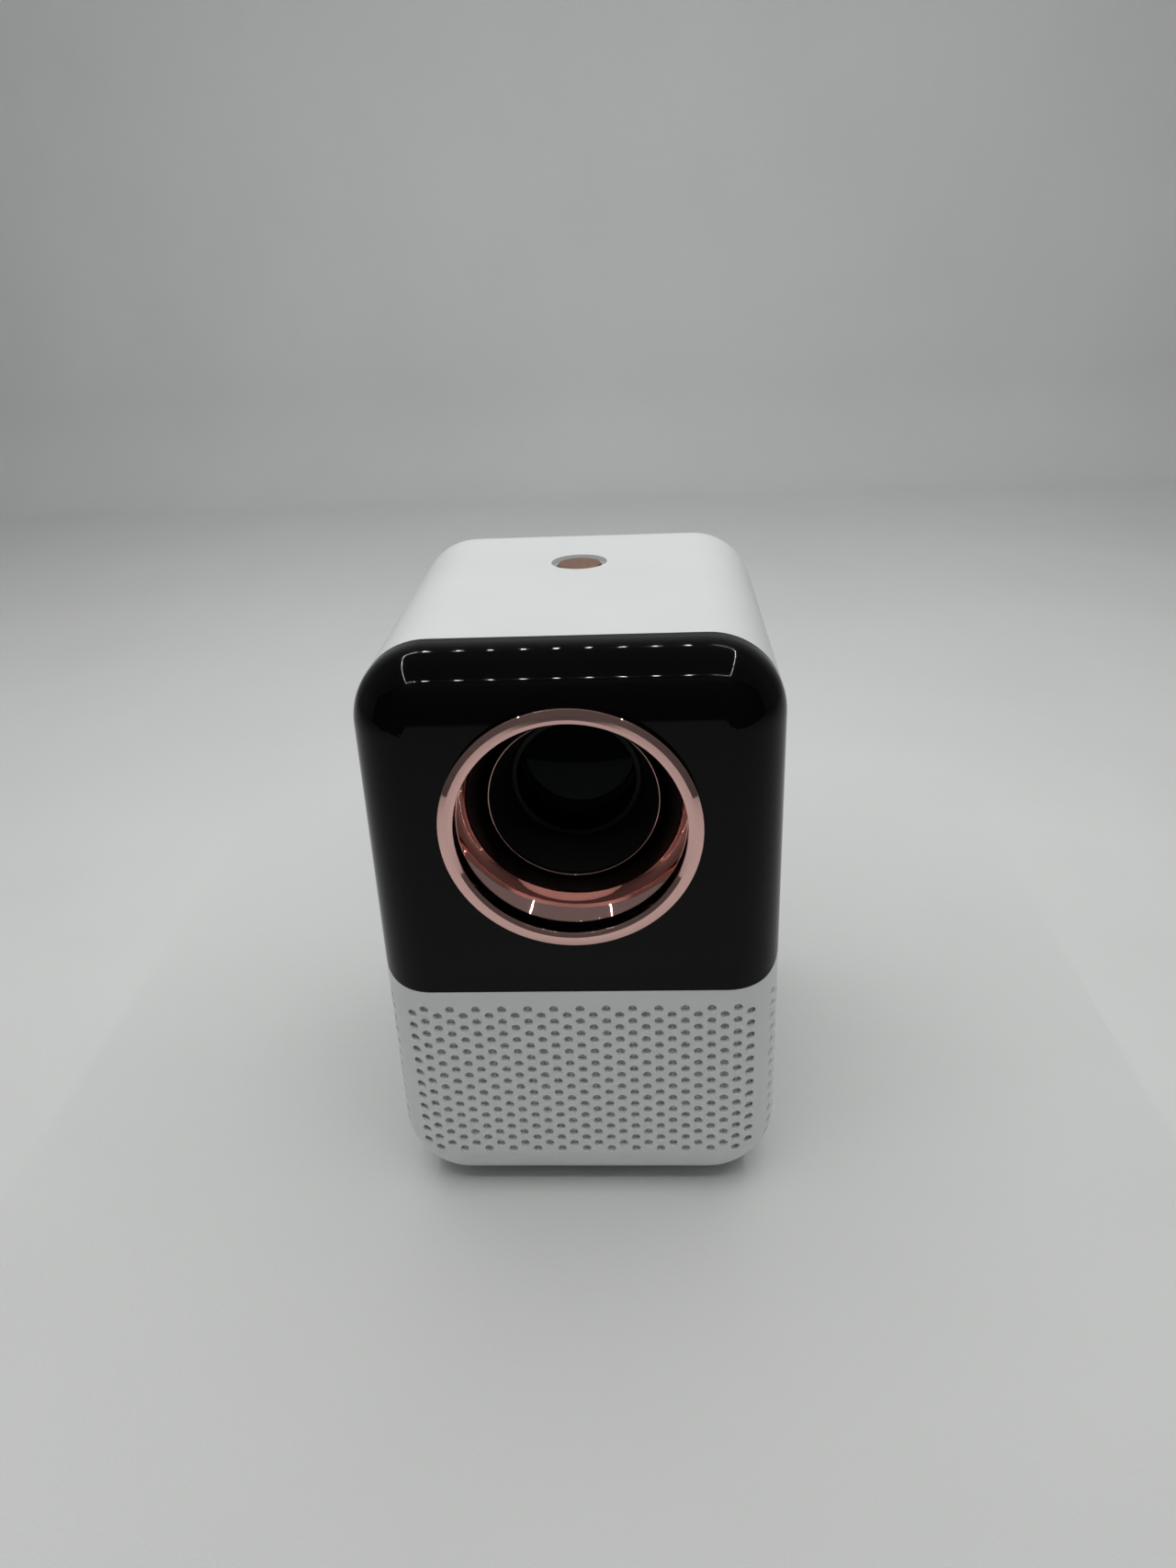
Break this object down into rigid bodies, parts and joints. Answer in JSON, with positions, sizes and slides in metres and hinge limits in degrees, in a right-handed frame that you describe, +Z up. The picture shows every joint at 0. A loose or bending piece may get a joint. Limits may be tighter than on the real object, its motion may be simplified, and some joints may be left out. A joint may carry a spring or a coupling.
{
  "type": "home projector",
  "caption": "Tall rounded home projector with a glossy front, a wide bowl-shaped lens ring, perforated speaker grilles on three sides and a round power button on top.",
  "frame": {"origin": "on the surface it stands on, under the middle of its bounding box", "axes": "+Z up; the lens looks along -Y; +X is to the right of a viewer who faces the lens"},
  "size_m": [0.106, 0.1254, 0.1628],
  "materials": {
    "white_plastic": "satin, off-white moulded plastic",
    "black_gloss": "high-gloss black plastic",
    "rose_satin": "rose-gold anodised, satin",
    "rose_polished": "rose-gold plated, polished",
    "copper_button": "copper-coloured anodised, satin",
    "grey_plastic": "matte",
    "black_plastic": "matte",
    "lens_glass": "coated optical glass",
    "optic_glass": "clear optical glass",
    "dichroic": "thin-film coated glass",
    "cloth": "woven grille cloth",
    "rubber": "matte",
    "steel": "zinc-plated",
    "alloy": "cast or extruded",
    "copper": "bare copper",
    "brass": "turned",
    "board": "green solder mask on glass fibre",
    "chip": "moulded epoxy",
    "lamp": "ceramic",
    "magnet": "ferrite and steel",
    "paper": "pressed paper and rubber",
    "mirror": "first-surface"
  },
  "bodies": {
    "case": {"main_shell": "white_plastic", "front_panel": "black_gloss", "rear_cover": "white_plastic", "base_plate": "white_plastic", "front_grille": "white_plastic", "left_grille": "white_plastic", "right_grille": "white_plastic", "grille_cloth": "cloth", "rubber_feet": "rubber", "tripod_insert": "brass", "base_screws": "steel", "rear_screws": "steel", "lens_ring": "rose_satin", "lens_bowl": "rose_polished", "rear_lens": "lens_glass", "lens_mount": "black_plastic", "retainer_ring": "steel", "focus_motor": "steel", "engine_housing": "alloy", "engine_cover": "alloy", "prism": "optic_glass", "relay_lens": "optic_glass", "fold_mirror": "mirror", "fly_eye_lens": "optic_glass", "dichroic_plate": "dichroic", "collimator_lenses": "optic_glass", "green_led": "lamp", "red_blue_led": "lamp", "led_blocks": "copper", "heat_pipes": "copper", "heatsink": "alloy", "dmd_chip": "chip", "dmd_board": "board", "dmd_heatsink": "alloy", "chassis": "steel", "driver_board": "board", "main_board": "board", "board_chips": "chip", "hdmi_port": "steel", "usb_port": "steel", "audio_jack": "black_plastic", "dc_jack": "black_plastic", "speaker_box": "black_plastic", "speaker_basket": "steel", "speaker_magnet": "magnet", "speaker_cone": "paper", "fan_frame": "black_plastic", "button_bezel": "grey_plastic", "button_board": "board"},
    "button": {"power_button": "copper_button", "switch_plunger": "lamp"},
    "focus_ring": {"focus_ring": "black_plastic"},
    "lens": {"lens_barrel": "black_plastic", "cam_pins": "steel", "front_lens": "lens_glass", "middle_lens": "lens_glass"},
    "pinion": {"focus_pinion": "brass", "motor_shaft": "steel"},
    "fan": {"fan_rotor": "black_plastic", "fan_shaft": "steel"}
  },
  "joints": [
    {"name": "power_button_press", "type": "slide", "parent": "case", "child": "button", "axis": [0, 0, -1], "range_m": [0, 0.0005], "stiffness_N_per_m": 2000, "springref_m": -0.0003},
    {"name": "focus_ring_turn", "type": "hinge", "parent": "case", "child": "focus_ring", "pos_m": [0, -0.019, 0.1192], "axis": [0, 1, 0], "range_deg": [-30, 30]},
    {"name": "lens_focus", "type": "slide", "parent": "case", "child": "lens", "axis": [0, -1, 0], "range_m": [-0.00125, 0.00125]},
    {"name": "focus_pinion_turn", "type": "hinge", "parent": "case", "child": "pinion", "pos_m": [0.0328, -0.015, 0.1192], "axis": [0, 1, 0], "range_deg": [-110, 110]},
    {"name": "fan_spin", "type": "hinge", "parent": "case", "child": "fan", "pos_m": [0, 0.052, 0.0445], "axis": [0, 1, 0], "continuous": true}
  ],
  "couplings": [
    {"joint": "lens_focus", "follows": "focus_ring_turn", "m_per_rad": 0.0022918},
    {"joint": "focus_pinion_turn", "follows": "focus_ring_turn", "ratio": -3.5556}
  ]
}
